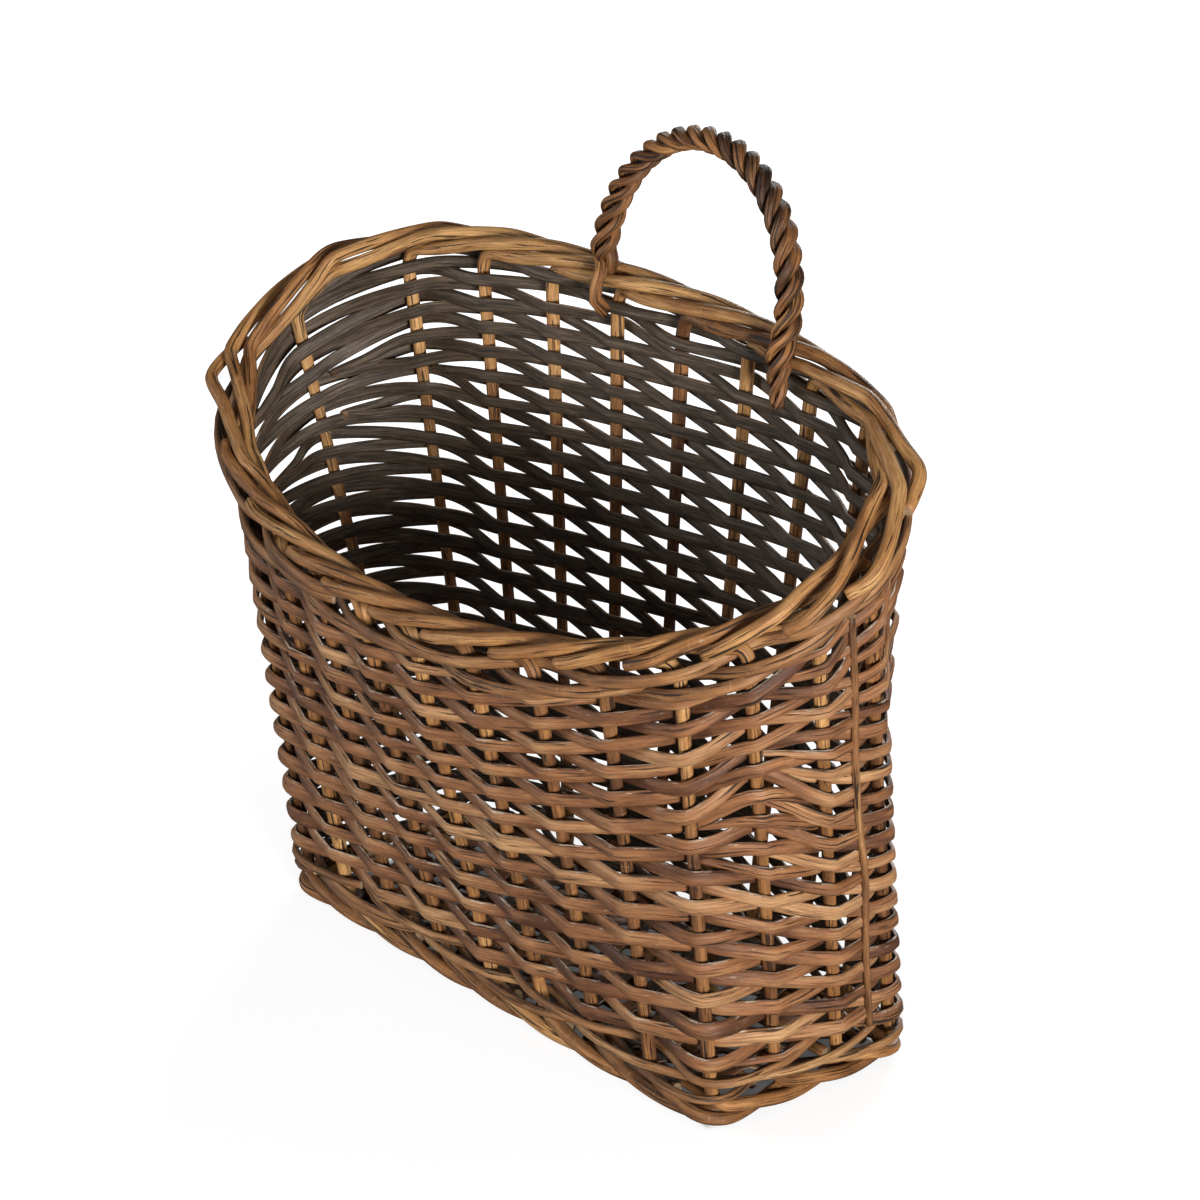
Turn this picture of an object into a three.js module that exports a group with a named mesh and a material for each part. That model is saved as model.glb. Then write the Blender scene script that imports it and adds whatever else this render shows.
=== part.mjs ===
// A wall basket of willow: a rectangular base, walls that flare to an oval rim, a back that stands
// higher than the front, and a twisted handle to hang it by.
// Millimetres, +Z up, the front faces -Y, and the middle of the footprint is the origin.

import * as THREE from 'three';

// Overall form: the base and the rim are measured between the centre lines of the rods
const BASE_WIDTH = 270;
const BASE_DEPTH = 101;
const BASE_CORNER_RADIUS = 10;
const RIM_WIDTH = 360;
const RIM_DEPTH = 140;
const RIM_FORWARD = 34;
const FRONT_HEIGHT = 192;
const BACK_HEIGHT = 290;
const RIM_SWEEP = 0.2;
const FRONT_ROUNDNESS = 1.95;
const BACK_ROUNDNESS = 2.8;

// Stakes of the front, the right end, the back and the left end, each counted from its first corner
const STAKES_PER_SIDE = [8, 3, 9, 3];
// Where the four corner stakes reach the rim, in degrees round it: the wall leans a little that way
const RIM_CORNERS = [230, 321, 364, 499];
const STAKE_DIAMETER = 5;
const FOOT_STRANDS = 3;
const FOOT_RUN_STEPS = 7;
const BORDER_STRANDS = 5;
const BORDER_RUN_STEPS = 11;
const RUN_STEPS_PER_GAP = 3;
const BEND_SHARE = 0.12;
const BEND_RISE = 4;

// Weave
const TURNS = 24;
const TURNS_PER_WEAVER = 3;
const WEAVER_THICKNESS = 2.4;
const WEAVER_CROWN = 0.66;
const ROW_GAP = 2;
// How much wider than the mean the lowest rows are, and how much narrower the highest
const ROW_SPREAD = 0.12;
// Where in the gap between two stakes a rod's cut ends lie
const TAIL_START = 0.55;
const TAIL_END = 0.25;
// Stakes passed by the thin tips that fill the wedge below the first turn and the one above the last
const TIP_STEPS = 10;
const CORNER_BULGE = 1.5;
const WALE_DIAMETER = 3;
const WALE_RODS = 3;
const WALE_GAP = 1.2;
// Short rows across the back: the turn of the weave below each, and the stakes at its two ends
const PACKING = [
  { above: 12, from: 9, to: 22 },
  { above: 14, from: 9, to: 22 },
  { above: 16, from: 10, to: 22 },
  { above: 17, from: 10, to: 21 },
  { above: 18, from: 11, to: 20 },
  { above: 20, from: 12, to: 19 },
  { above: 21, from: 11, to: 20 },
  { above: 22, from: 10, to: 21 },
];

// Corner rod: where it stands, counted in stakes from the front left corner
const CORNER_ROD_PLACE = 10.5;
const CORNER_ROD_DIAMETER = 2.6;
const CORNER_ROD_CLEARANCE = 0.6;
const CORNER_ROD_STEPS = 8;

// Base
const BASE_STICKS = 5;
const BASE_STICK_DIAMETER = 5;
const BASE_WEAVER_THICKNESS = 2.2;
const BASE_WEAVER_PITCH = 8;
const BASE_ROW_GAP = 1;
const BASE_STICK_SHORTFALL = 4;
const BASE_FLOOR_GAP = 1;

// Handle
const HANDLE_SPAN = 112;
const HANDLE_RISE = 75;
const HANDLE_OFFSET = 27;
const HANDLE_TUCK = 20;
const HANDLE_LEAN = 0.3;
const HANDLE_STEPS_PER_LAY = 8;
const HANDLE_STRANDS = 3;
const HANDLE_STRAND_DIAMETER = 4.2;
const HANDLE_LAY = 26;
// How far the rope beds in between the strands of the border
const HANDLE_BED = 0.8;

// Fit
const CLEARANCE = 0.3;
const ROLL_CLEARANCE = 0.6;
const WEAVE_CLEARANCE = 0.55;
const ROD_SIDES = 6;
const STRAND_SIDES = 5;
// How far to each side of a point on a line the way along it is read
const ALONG_REACH = 2;

const UP = new THREE.Vector3(0, 0, 1);
const STAKE_RADIUS = STAKE_DIAMETER / 2;
const STAKES = STAKES_PER_SIDE.reduce((sum, count) => sum + count, 0);

const bark = new THREE.MeshStandardMaterial({ color: 0x8d5a33, roughness: 0.7, metalness: 0 });
const split = new THREE.MeshStandardMaterial({ color: 0x7d4f30, roughness: 0.75, metalness: 0 });
const pale = new THREE.MeshStandardMaterial({ color: 0x97683e, roughness: 0.7, metalness: 0 });

const basket = new THREE.Group();

/** Skin a row of rings, each counter-clockwise about the way of travel, into one closed solid. */
function skin(rings) {
  const sides = rings[0].length;
  const last = (rings.length - 1) * sides;
  const index = [];
  for (let start = 0; start < last; start += sides) {
    for (let k = 0; k < sides; k += 1) {
      const a = start + k;
      const b = start + ((k + 1) % sides);
      index.push(a, b, a + sides, b, b + sides, a + sides);
    }
  }
  for (let k = 1; k + 1 < sides; k += 1) {
    index.push(0, k + 1, k);
    index.push(last, last + k, last + k + 1);
  }
  const geometry = new THREE.BufferGeometry().setFromPoints(rings.flat());
  geometry.setIndex(index);
  geometry.computeVertexNormals();
  return geometry;
}

function addPiece(name, geometry, material) {
  const mesh = new THREE.Mesh(geometry, material);
  mesh.name = name;
  basket.add(mesh);
}

function numbered(name, number) {
  return `${name}_${String(number).padStart(2, '0')}`;
}

/** A round rod along points, its section carried from one point to the next without twisting. */
function rod(points, radius, sides = ROD_SIDES) {
  const side = new THREE.Vector3();
  const rings = points.map((point, k) => {
    const ahead = points[Math.min(k + 1, points.length - 1)];
    const behind = points[Math.max(k - 1, 0)];
    const travel = ahead.clone().sub(behind).normalize();
    if (k === 0) {
      side.crossVectors(travel, Math.abs(travel.z) < 0.9 ? UP : new THREE.Vector3(1, 0, 0));
    }
    side.addScaledVector(travel, -side.dot(travel)).normalize();
    const across = travel.clone().cross(side);
    return Array.from({ length: sides }, (_, s) => {
      const angle = (2 * Math.PI * s) / sides;
      return point.clone()
        .addScaledVector(side, radius * Math.cos(angle))
        .addScaledVector(across, radius * Math.sin(angle));
    });
  });
  return skin(rings);
}

/** A closed loop of points that can be read at any distance along it. */
function closedLoop(points) {
  const marks = [0];
  points.forEach((point, k) => {
    marks.push(marks[k] + point.distanceTo(points[(k + 1) % points.length]));
  });
  const length = marks[points.length];
  function at(distance) {
    const along = THREE.MathUtils.euclideanModulo(distance, length);
    let low = 0;
    let high = points.length;
    while (high - low > 1) {
      const middle = (low + high) >> 1;
      if (marks[middle] <= along) low = middle;
      else high = middle;
    }
    const part = (along - marks[low]) / (marks[high] - marks[low]);
    return points[low].clone().lerp(points[high % points.length], part);
  }
  return { length, marks, at };
}

/** The base line: a rectangle with rounded corners, from the middle of the front left corner. */
function baseLoop() {
  const radius = BASE_CORNER_RADIUS;
  const steps = 16;
  const points = [];
  const cornerMarks = [];
  const corners = [[-1, -1, 1.25], [1, -1, 1.75], [1, 1, 0.25], [-1, 1, 0.75]];
  for (let corner = 0; corner <= corners.length; corner += 1) {
    const [sideX, sideY, middle] = corners[corner % corners.length];
    const centreX = sideX * (BASE_WIDTH / 2 - radius);
    const centreY = sideY * (BASE_DEPTH / 2 - radius);
    const first = corner === 0 ? steps / 2 : 0;
    const last = corner === corners.length ? steps / 2 - 1 : steps;
    for (let k = first; k <= last; k += 1) {
      const angle = Math.PI * (middle - 0.25 + (0.5 * k) / steps);
      if (k === steps / 2) cornerMarks.push(points.length);
      const x = centreX + radius * Math.cos(angle);
      points.push(new THREE.Vector3(x, centreY + radius * Math.sin(angle), 0));
    }
  }
  return { loop: closedLoop(points), cornerMarks };
}

/** The rim line: an oval, flatter at the back, which climbs from the front to the back. */
function rimLoop() {
  const steps = 360;
  const halfDepth = RIM_DEPTH / 2;
  const power = (value, exponent) => Math.sign(value) * Math.abs(value) ** exponent;
  const angles = RIM_CORNERS.map(THREE.MathUtils.degToRad);
  const points = [];
  const cornerMarks = [];
  angles.forEach((angle, corner) => {
    const next = corner < 3 ? angles[corner + 1] : angles[0] + 2 * Math.PI;
    cornerMarks.push(points.length);
    for (let k = 0; k < steps / 4; k += 1) {
      const turn = angle + ((next - angle) * k) / (steps / 4);
      const exponent = 2 / (Math.sin(turn) > 0 ? BACK_ROUNDNESS : FRONT_ROUNDNESS);
      const x = (RIM_WIDTH / 2) * power(Math.cos(turn), exponent);
      const y = halfDepth * power(Math.sin(turn), exponent);
      const share = (y + halfDepth) / RIM_DEPTH;
      const climb = share + RIM_SWEEP * share * (1 - share);
      const height = THREE.MathUtils.lerp(FRONT_HEIGHT, BACK_HEIGHT, climb);
      points.push(new THREE.Vector3(x, y - RIM_FORWARD, height));
    }
  });
  return { loop: closedLoop(points), cornerMarks };
}

/** Read a loop by stake number: whole numbers are stakes, evenly spaced between the corners. */
function byStake({ loop, cornerMarks }) {
  const stations = [];
  cornerMarks.forEach((mark, side) => {
    const start = loop.marks[mark];
    const end = side < 3 ? loop.marks[cornerMarks[side + 1]] : loop.length + loop.marks[cornerMarks[0]];
    const count = STAKES_PER_SIDE[side];
    for (let k = 0; k < count; k += 1) stations.push(start + ((end - start) * k) / count);
  });
  stations.push(loop.length + stations[0]);
  function distance(stake) {
    const round = Math.floor(stake / STAKES);
    const whole = Math.floor(stake - round * STAKES);
    const part = stake - round * STAKES - whole;
    return round * loop.length + THREE.MathUtils.lerp(stations[whole], stations[whole + 1], part);
  }
  /** The point at a stake, the way along the loop, outwards, and up square to both. */
  return (stake) => {
    const here = distance(stake);
    const along = loop.at(here + ALONG_REACH).sub(loop.at(here - ALONG_REACH)).normalize();
    const out = along.clone().cross(UP).normalize();
    return { point: loop.at(here), along, out, up: out.clone().cross(along) };
  };
}

const baseAt = byStake(baseLoop());
const rimAt = byStake(rimLoop());

/** Radius of the circle on which touching strands lie when they are rolled together. */
function rollRadius(strands, diameter) {
  return (diameter + ROLL_CLEARANCE) / 2 / Math.sin(Math.PI / strands);
}

const FOOT_ROLL = rollRadius(FOOT_STRANDS, STAKE_DIAMETER);
const BORDER_ROLL = rollRadius(BORDER_STRANDS, STAKE_DIAMETER);
const FOOT_CENTRE = FOOT_ROLL + STAKE_RADIUS;

/** A point on a roll of strands: turns are counted from straight out towards straight up. */
function onRoll(frame, radius, turn, lift = 0) {
  const angle = 2 * Math.PI * turn;
  return frame.point.clone()
    .addScaledVector(frame.out, radius * Math.cos(angle))
    .addScaledVector(frame.up, radius * Math.sin(angle))
    .addScaledVector(UP, lift);
}

function footPoint(stake, run) {
  return onRoll(baseAt(stake + run), FOOT_ROLL, 0.25 - run / FOOT_STRANDS, FOOT_CENTRE);
}

function borderPoint(stake, run) {
  return onRoll(rimAt(stake - run), BORDER_ROLL, 0.75 - run / BORDER_STRANDS);
}

// Straight middle of each stake, with the way out of the wall there
const uprights = Array.from({ length: STAKES }, (_, stake) => {
  const bottom = footPoint(stake, 0);
  const top = borderPoint(stake, 0);
  return { bottom, top, up: top.clone().sub(bottom).normalize(), length: top.distanceTo(bottom) };
});
uprights.forEach((upright, stake) => {
  const next = uprights[(stake + 1) % STAKES];
  const before = uprights[(stake + STAKES - 1) % STAKES];
  upright.outwards = (share) => {
    const here = upright.bottom.clone().lerp(upright.top, share);
    const ahead = next.bottom.clone().lerp(next.top, share).sub(here);
    const behind = here.clone().sub(before.bottom.clone().lerp(before.top, share));
    const first = behind.cross(upright.up).normalize();
    const second = ahead.cross(upright.up).normalize();
    const out = first.clone().add(second).normalize();
    return { out, stretch: out.dot(first) ** -CORNER_BULGE };
  };
});

function stakeAt(index) {
  return uprights[THREE.MathUtils.euclideanModulo(index, STAKES)];
}

// Stakes: foot run, upright and border run are one bent rod
function runSteps(count) {
  return [BEND_SHARE, ...Array.from({ length: count }, (_, k) => (k + 1) / RUN_STEPS_PER_GAP)];
}
uprights.forEach(({ bottom, top, up }, stake) => {
  const path = [
    ...runSteps(FOOT_RUN_STEPS).reverse().map((run) => footPoint(stake, run)),
    bottom.clone().addScaledVector(up, BEND_RISE),
    top.clone().addScaledVector(up, -BEND_RISE),
    ...runSteps(BORDER_RUN_STEPS).map((run) => borderPoint(stake, run)),
  ];
  addPiece(numbered('stake', stake + 1), rod(path, STAKE_RADIUS), bark);
});

// Heights of the weave on a stake: foot, lower wale, rows, upper wale, border
const ROLL_SEAT = STAKE_RADIUS + BEND_RISE / 2;
const WALE_PITCH = WALE_DIAMETER + WALE_GAP;
const WALE_HEIGHT = WALE_RODS * WALE_PITCH;

function rowsAt(stake) {
  const packed = PACKING.filter(({ from, to }) => from <= stake && stake <= to);
  const upright = stakeAt(stake);
  const rows = TURNS + 2 * packed.length;
  const start = ROLL_SEAT + WALE_HEIGHT;
  const span = upright.length - 2 * start;
  return { packed, start, span, rows };
}

/** Height and width of a row of the weave where it passes a stake. */
function rowAt(stake, rank) {
  const index = THREE.MathUtils.euclideanModulo(stake, STAKES);
  const { start, span, rows } = rowsAt(index);
  const edge = (row) => {
    const share = THREE.MathUtils.clamp(row / (rows + 1), 0, 1);
    return start + span * (share + ROW_SPREAD * share * (1 - share));
  };
  const lower = edge(rank + index / STAKES);
  const upper = edge(rank + 1 + index / STAKES);
  return { height: (lower + upper) / 2, pitch: upper - lower, width: upper - lower - ROW_GAP };
}

function turnRank(stake, turn) {
  const index = THREE.MathUtils.euclideanModulo(stake, STAKES);
  return turn + 2 * rowsAt(index).packed.filter(({ above }) => above < turn).length;
}

/** How far a rod's centre line stands off a stake's, so that it clears it where it slants past. */
function standOff(halfThickness) {
  const clear = STAKE_RADIUS + WEAVE_CLEARANCE + halfThickness;
  const span = uprights.reduce((least, { bottom }, k) => {
    return Math.min(least, bottom.distanceTo(stakeAt(k + 1).bottom));
  }, Infinity);
  return clear / Math.cos(Math.atan2(2 * clear, span));
}

const WEAVER_STAND_OFF = standOff(WEAVER_THICKNESS / 2);
const WALE_STAND_OFF = standOff(WALE_DIAMETER / 2);

/** One station of a split weaver: the flat face towards the stake's inside, the crown outwards. */
function weaverStation(stake, height, side, { face = 1, past = 0 } = {}) {
  const upright = stakeAt(stake);
  const { out, stretch } = upright.outwards(height / upright.length);
  const along = upright.up.clone().cross(out);
  const point = upright.bottom.clone()
    .addScaledVector(upright.up, height)
    .addScaledVector(out, side * WEAVER_STAND_OFF * stretch)
    .addScaledVector(along, past * WEAVER_STAND_OFF);
  const crown = out.clone().multiplyScalar(face);
  if (past) crown.addScaledVector(along, past * face * side).normalize();
  return { point, up: upright.up, crown };
}

function weaverRing({ point, up, crown }, width) {
  const half = WEAVER_THICKNESS / 2;
  const corners = [[-0.5, -half], [0.5, -half], [WEAVER_CROWN / 2, half], [-WEAVER_CROWN / 2, half]];
  return corners.map(([rise, depth]) => point.clone()
    .addScaledVector(up, rise * width)
    .addScaledVector(crown, depth));
}

/** A ring part of the way between two rings, for a cut end between two stakes. */
function between(first, second, part) {
  return first.map((corner, k) => corner.clone().lerp(second[k], part));
}

// Weavers: one rod after another winds round the wall, out over one stake and in behind the next
function weaveRing(step) {
  const stake = THREE.MathUtils.euclideanModulo(step, STAKES);
  const turn = Math.floor(step / STAKES);
  const { height, width } = rowAt(stake, turnRank(stake, turn));
  const side = step % 2 === 0 ? 1 : -1;
  return weaverRing(weaverStation(stake, height, side), width);
}
const WEAVERS = TURNS / TURNS_PER_WEAVER;
const WEAVER_STEPS = TURNS_PER_WEAVER * STAKES;
for (let weaver = 0; weaver < WEAVERS; weaver += 1) {
  const first = weaver === 0 ? -TIP_STEPS : weaver * WEAVER_STEPS;
  const last = weaver === WEAVERS - 1 ? TURNS * STAKES + TIP_STEPS - 1 : (weaver + 1) * WEAVER_STEPS - 1;
  const rings = [];
  for (let step = first; step <= last; step += 1) rings.push(weaveRing(step));
  if (weaver > 0) rings.unshift(between(weaveRing(first - 1), rings[0], TAIL_START));
  if (weaver < WEAVERS - 1) rings.push(between(rings[rings.length - 1], weaveRing(last + 1), TAIL_END));
  addPiece(numbered('weaver', weaver + 1), skin(rings), split);
}

// Packing weavers: across the back, round the last stake and back again one row higher
PACKING.forEach((row, number) => {
  const order = [];
  for (let stake = row.from; stake <= row.to; stake += 1) order.push(stake);
  const parity = (stake) => ((row.above * STAKES + stake) % 2 === 0 ? -1 : 1);
  const rankAt = (stake) => turnRank(stake, row.above) + 1;
  const out = order.map((stake) => {
    const { height, width } = rowAt(stake, rankAt(stake));
    return weaverRing(weaverStation(stake, height, parity(stake)), width);
  });
  const home = order.map((stake) => {
    const { height, width } = rowAt(stake, rankAt(stake) + 1);
    return weaverRing(weaverStation(stake, height, -parity(stake), { face: -1 }), width);
  });
  const end = row.to;
  const { height, pitch, width } = rowAt(end, rankAt(end));
  const side = parity(end);
  const turn = [
    weaverRing(weaverStation(end, height + pitch / 4, side, { face: 1, past: 1 }), width),
    weaverRing(weaverStation(end, height + (3 * pitch) / 4, -side, { face: -1, past: 1 }), width),
  ];
  addPiece(numbered('packing_weaver', number + 1), skin([...out, ...turn, ...home.reverse()]), split);
});

// Wales: thin rods, each out over two stakes and in behind one, a stake apart from each other
function wale(name, heightOn) {
  function waleRing(step, number) {
    const upright = stakeAt(step);
    const height = heightOn(upright, number);
    const { out, stretch } = upright.outwards(height / upright.length);
    const side = (step + number) % WALE_RODS === 0 ? -1 : 1;
    const point = upright.bottom.clone()
      .addScaledVector(upright.up, height)
      .addScaledVector(out, side * WALE_STAND_OFF * stretch);
    return [[-1, 0], [0, -1], [1, 0], [0, 1]].map(([rise, depth]) => point.clone()
      .addScaledVector(upright.up, (rise * WALE_DIAMETER) / 2)
      .addScaledVector(out, (depth * WALE_DIAMETER) / 2));
  }
  for (let number = 0; number < WALE_RODS; number += 1) {
    const rings = [];
    for (let step = 0; step < STAKES; step += 1) rings.push(waleRing(step, number));
    rings.unshift(between(waleRing(-1, number), rings[0], TAIL_START));
    rings.push(between(rings[rings.length - 1], waleRing(STAKES, number), TAIL_END));
    addPiece(numbered(name, number + 1), skin(rings), pale);
  }
}
wale('lower_wale', (_, number) => ROLL_SEAT + (number + 0.5) * WALE_PITCH);
wale('upper_wale', (upright, number) => upright.length - ROLL_SEAT - (number + 0.5) * WALE_PITCH);

// Corner rod: a thin rod stood outside the weave, between the last stakes of the right end
const CORNER_ROD_STAND_OFF = (WEAVER_THICKNESS + CORNER_ROD_DIAMETER) / 2 + CORNER_ROD_CLEARANCE;
const cornerRodPoints = Array.from({ length: CORNER_ROD_STEPS + 1 }, (_, k) => {
  const number = Math.floor(CORNER_ROD_PLACE);
  const [before, after] = [stakeAt(number), stakeAt(number + 1)];
  const start = ROLL_SEAT + WALE_HEIGHT;
  const share = (upright) => THREE.MathUtils.lerp(start, upright.length - start, k / CORNER_ROD_STEPS);
  const place = (upright) => upright.bottom.clone().addScaledVector(upright.up, share(upright));
  const along = place(after).sub(place(before));
  const out = along.clone().cross(before.up).normalize();
  return place(before)
    .addScaledVector(along, CORNER_ROD_PLACE - number)
    .addScaledVector(out, CORNER_ROD_STAND_OFF);
});
addPiece('corner_rod', rod(cornerRodPoints, CORNER_ROD_DIAMETER / 2), pale);

// Base: lengthwise sticks, with one flat weaver going to and fro across each half
const BASE_INSET = FOOT_CENTRE + CLEARANCE + BASE_WEAVER_THICKNESS + CLEARANCE;
const STICK_RADIUS = BASE_STICK_DIAMETER / 2;
const STICK_SPACING = (BASE_DEPTH - 2 * (BASE_INSET + STICK_RADIUS)) / (BASE_STICKS - 1);
const BASE_WRAP = STICK_RADIUS + CLEARANCE + BASE_WEAVER_THICKNESS / 2;
const BASE_WAVE = BASE_WRAP / Math.cos(Math.atan2(2 * BASE_WRAP, STICK_SPACING));
const BASE_LEVEL = BASE_WAVE + BASE_WEAVER_THICKNESS / 2 + BASE_FLOOR_GAP;
const STICK_HALF_LENGTH = BASE_WIDTH / 2 - FOOT_CENTRE - BASE_STICK_SHORTFALL;
const stickY = (stick) => (stick - (BASE_STICKS - 1) / 2) * STICK_SPACING;

for (let stick = 0; stick < BASE_STICKS; stick += 1) {
  const start = new THREE.Vector3(-STICK_HALF_LENGTH, stickY(stick), BASE_LEVEL);
  const end = start.clone().setX(STICK_HALF_LENGTH);
  addPiece(numbered('base_stick', stick + 1), rod([start, end], STICK_RADIUS), bark);
}

const BASE_PASSES = 2 * Math.floor((STICK_HALF_LENGTH - BASE_WEAVER_PITCH) / BASE_WEAVER_PITCH);
function baseWeaver(name, firstPass, lastPass) {
  const halfWidth = (BASE_WEAVER_PITCH - BASE_ROW_GAP) / 2;
  const rings = [];
  /** A ring of the weaver: facing is the way its upper face looks, as parts of y and z. */
  const addRing = (x, y, z, facingY, facingZ) => {
    const face = new THREE.Vector3(0, facingY, facingZ).setLength(BASE_WEAVER_THICKNESS / 2);
    const point = new THREE.Vector3(x, y, BASE_LEVEL + z);
    rings.push([[-1, -1], [-1, 1], [1, 1], [1, -1]].map(([wide, deep]) => point.clone()
      .addScaledVector(face, deep)
      .add(new THREE.Vector3(wide * halfWidth, 0, 0))));
  };
  for (let pass = firstPass; pass <= lastPass; pass += 1) {
    const x = (pass - (BASE_PASSES - 1) / 2) * BASE_WEAVER_PITCH;
    const way = pass % 2 === 0 ? 1 : -1;
    for (let k = 0; k < BASE_STICKS; k += 1) {
      const level = k % 2 === 0 ? way : -way;
      const wave = k === 0 || k === BASE_STICKS - 1 ? BASE_WRAP : BASE_WAVE;
      addRing(x, way * stickY(k), level * wave, 0, way);
    }
    if (pass === lastPass) break;
    const edge = way * (stickY(BASE_STICKS - 1) + BASE_WRAP);
    addRing(x + BASE_WEAVER_PITCH / 4, edge, way * BASE_WRAP, way, way);
    addRing(x + (3 * BASE_WEAVER_PITCH) / 4, edge, -way * BASE_WRAP, way, -way);
  }
  addPiece(name, skin(rings), split);
}
baseWeaver('base_weaver_left', 0, BASE_PASSES / 2 - 1);
baseWeaver('base_weaver_right', BASE_PASSES / 2, BASE_PASSES - 1);

// Handle: strands laid into a rope, tucked in inside the back border at both feet
const HANDLE_CIRCUMFERENCE = 2 * Math.PI * rollRadius(HANDLE_STRANDS, HANDLE_STRAND_DIAMETER);
const HANDLE_SLANT = Math.atan2(HANDLE_CIRCUMFERENCE, HANDLE_LAY);
const HANDLE_ROLL = rollRadius(HANDLE_STRANDS, HANDLE_STRAND_DIAMETER / Math.cos(HANDLE_SLANT));
const HANDLE_RADIUS = HANDLE_ROLL + HANDLE_STRAND_DIAMETER / 2;
const BORDER_RADIUS = BORDER_ROLL + STAKE_RADIUS;
const HANDLE_INSET = BORDER_RADIUS + HANDLE_RADIUS - HANDLE_BED;

function rimBackY(x) {
  const across = Math.abs((2 * x) / RIM_WIDTH) ** BACK_ROUNDNESS;
  return (RIM_DEPTH / 2) * (1 - across) ** (1 / BACK_ROUNDNESS) - RIM_FORWARD;
}

function handlePath() {
  const halfSpan = HANDLE_SPAN / 2;
  const insideAt = (x) => rimBackY(HANDLE_OFFSET + x) - HANDLE_INSET;
  const foot = BACK_HEIGHT + BORDER_RADIUS;
  const points = [];
  const place = (x, y, z) => points.push(new THREE.Vector3(HANDLE_OFFSET + x, y, z));
  const leg = (side) => {
    const x = side * halfSpan;
    const inside = insideAt(x);
    return [
      [x, inside, BACK_HEIGHT - HANDLE_TUCK],
      [x, inside, BACK_HEIGHT],
      [x, inside + HANDLE_INSET * HANDLE_LEAN, foot + HANDLE_RADIUS],
    ];
  };
  leg(-1).forEach((point) => place(...point));
  const steps = 10;
  for (let k = 1; k < steps; k += 1) {
    const angle = Math.PI * (1 - k / steps);
    const lift = Math.sin(angle);
    const x = halfSpan * Math.cos(angle);
    const y = insideAt(x) + HANDLE_INSET * (HANDLE_LEAN + (1 - HANDLE_LEAN) * lift);
    place(x, y, foot + HANDLE_RADIUS + (HANDLE_RISE - BORDER_RADIUS - 2 * HANDLE_RADIUS) * lift);
  }
  leg(1).reverse().forEach((point) => place(...point));
  return new THREE.CatmullRomCurve3(points);
}

const handleCurve = handlePath();
const HANDLE_LENGTH = handleCurve.getLength();
const HANDLE_STEPS = Math.round((HANDLE_LENGTH / HANDLE_LAY) * HANDLE_STEPS_PER_LAY);
for (let strand = 0; strand < HANDLE_STRANDS; strand += 1) {
  const points = [];
  for (let k = 0; k <= HANDLE_STEPS; k += 1) {
    const share = k / HANDLE_STEPS;
    const point = handleCurve.getPointAt(share);
    const travel = handleCurve.getTangentAt(share);
    const across = new THREE.Vector3(0, 1, 0).addScaledVector(travel, -travel.y).normalize();
    const third = travel.clone().cross(across);
    const angle = 2 * Math.PI * ((share * HANDLE_LENGTH) / HANDLE_LAY + strand / HANDLE_STRANDS);
    points.push(point
      .addScaledVector(across, HANDLE_ROLL * Math.cos(angle))
      .addScaledVector(third, HANDLE_ROLL * Math.sin(angle)));
  }
  const strandRod = rod(points, HANDLE_STRAND_DIAMETER / 2, STRAND_SIDES);
  addPiece(numbered('handle_strand', strand + 1), strandRod, bark);
}

// Stand the basket on the middle of its footprint
const box = new THREE.Box3().setFromObject(basket, true);
const middle = box.getCenter(new THREE.Vector3());
basket.position.set(-middle.x, -middle.y, -box.min.z);
basket.updateMatrixWorld(true);

export default basket;
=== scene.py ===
import math

import bpy
import numpy as np
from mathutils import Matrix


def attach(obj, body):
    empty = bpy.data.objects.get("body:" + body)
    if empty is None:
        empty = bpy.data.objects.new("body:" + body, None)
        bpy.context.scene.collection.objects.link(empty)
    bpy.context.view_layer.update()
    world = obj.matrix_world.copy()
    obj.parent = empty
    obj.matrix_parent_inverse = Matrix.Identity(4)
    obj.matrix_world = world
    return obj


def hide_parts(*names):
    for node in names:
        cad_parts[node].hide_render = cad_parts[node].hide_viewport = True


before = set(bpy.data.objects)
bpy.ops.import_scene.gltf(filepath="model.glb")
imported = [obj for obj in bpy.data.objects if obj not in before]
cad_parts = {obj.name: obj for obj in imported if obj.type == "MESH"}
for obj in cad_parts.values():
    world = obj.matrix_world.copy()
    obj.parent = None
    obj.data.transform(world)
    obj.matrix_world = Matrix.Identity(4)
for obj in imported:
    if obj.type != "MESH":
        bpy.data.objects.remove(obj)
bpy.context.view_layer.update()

# The studio: a pale floor that keeps the basket's shadow, a soft lamp low at the right, weaker ones at the
# left, above and behind, and a white surround. The camera looks down at the front right corner, as in the
# photograph. Lengths are in millimetres, and the shift is from the maker's own zero to the frame's.
scene = bpy.context.scene
scene.view_settings.view_transform = "Standard"
MM = 0.001
AZIMUTH, ELEVATION, DISTANCE = math.radians(51.53), math.radians(24.56), 1708.16
SHIFT = np.array([0.230, 27.323, -0.340])
AIM = np.array([0, -63.15, 130.34]) + SHIFT
FRAME_PIXELS, FOCAL_PIXELS, CENTRE_PIXEL = 1200, 4271.0, (470.9, 724.6)
SENSOR_WIDTH, CLIP_FAR = 36, 50

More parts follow.
